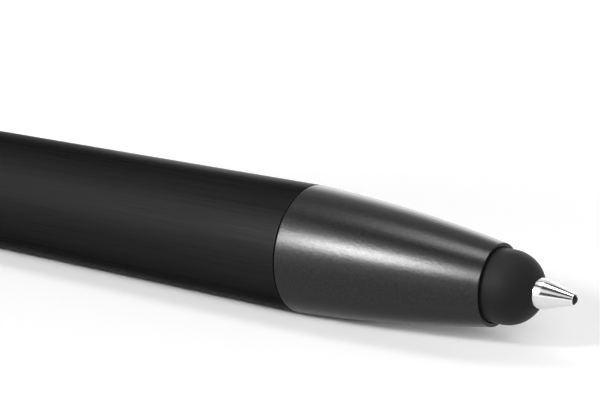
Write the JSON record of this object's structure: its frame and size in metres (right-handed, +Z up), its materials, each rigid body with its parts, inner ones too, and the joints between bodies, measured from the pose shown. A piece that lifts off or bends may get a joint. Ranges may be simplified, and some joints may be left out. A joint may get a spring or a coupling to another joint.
{
  "type": "stylus pen",
  "caption": "Twist-action ballpoint pen with a soft touchscreen dome around its metal point, a tapered nose cone, a round brushed barrel and a pocket clip.",
  "frame": {"origin": "on the pen's axis at the front rim of the barrel, where the nose cone is screwed on", "axes": "+X along the pen's axis towards its writing point, +Z up from the table that the pen lies on"},
  "size_m": [0.1376, 0.0131, 0.0104],
  "materials": {
    "brushed_barrel": "brushed lengthwise, black anodised",
    "satin_nose": "fine blasted satin, black anodised",
    "black_trim": "satin black plating",
    "soft_dome": "matte conductive silicone rubber",
    "bright_point": "turned and polished nickel silver",
    "carbide_ball": "ground carbide",
    "brass": "turned brass",
    "connector_aluminium": "turned aluminium",
    "acetal": "moulded acetal",
    "steel": "drawn spring steel",
    "refill_steel": "drawn steel tube",
    "plug_plastic": "moulded plastic",
    "ring_rubber": "moulded nitrile rubber",
    "ink_paste": "thick writing ink"
  },
  "bodies": {
    "front": {"nose_cone": "satin_nose", "stylus_dome": "soft_dome", "stylus_core": "brass", "return_spring": "steel", "nose_insert": "brass", "front_barrel": "brushed_barrel", "connector_tube": "connector_aluminium", "centre_ring": "black_trim", "friction_ring": "ring_rubber", "retaining_ring": "steel"},
    "rear": {"rear_barrel": "brushed_barrel", "bearing_bush": "acetal", "cam_sleeve": "acetal", "rear_insert": "brass", "clip": "black_trim", "finial": "satin_nose"},
    "refill": {"refill_point": "bright_point", "refill_tube": "refill_steel", "ink": "ink_paste", "refill_plug": "plug_plastic", "plunger": "acetal", "cross_pin": "steel"},
    "ball": {"writing_ball": "carbide_ball"}
  },
  "joints": [
    {"name": "twist", "type": "hinge", "parent": "front", "child": "rear", "pos_m": [-0.06535, 0, 0], "axis": [1, 0, 0], "range_deg": [0, 180]},
    {"name": "refill_slide", "type": "slide", "parent": "front", "child": "refill", "axis": [1, 0, 0], "range_m": [-0.005, 0], "deforming": ["return_spring"]},
    {"name": "ball_roll", "type": "hinge", "parent": "refill", "child": "ball", "pos_m": [0.02355, 0, 0], "axis": [0, 1, 0], "continuous": true}
  ],
  "couplings": [
    {"joint": "twist", "follows": "refill_slide", "rad_per_m": -628.32}
  ]
}
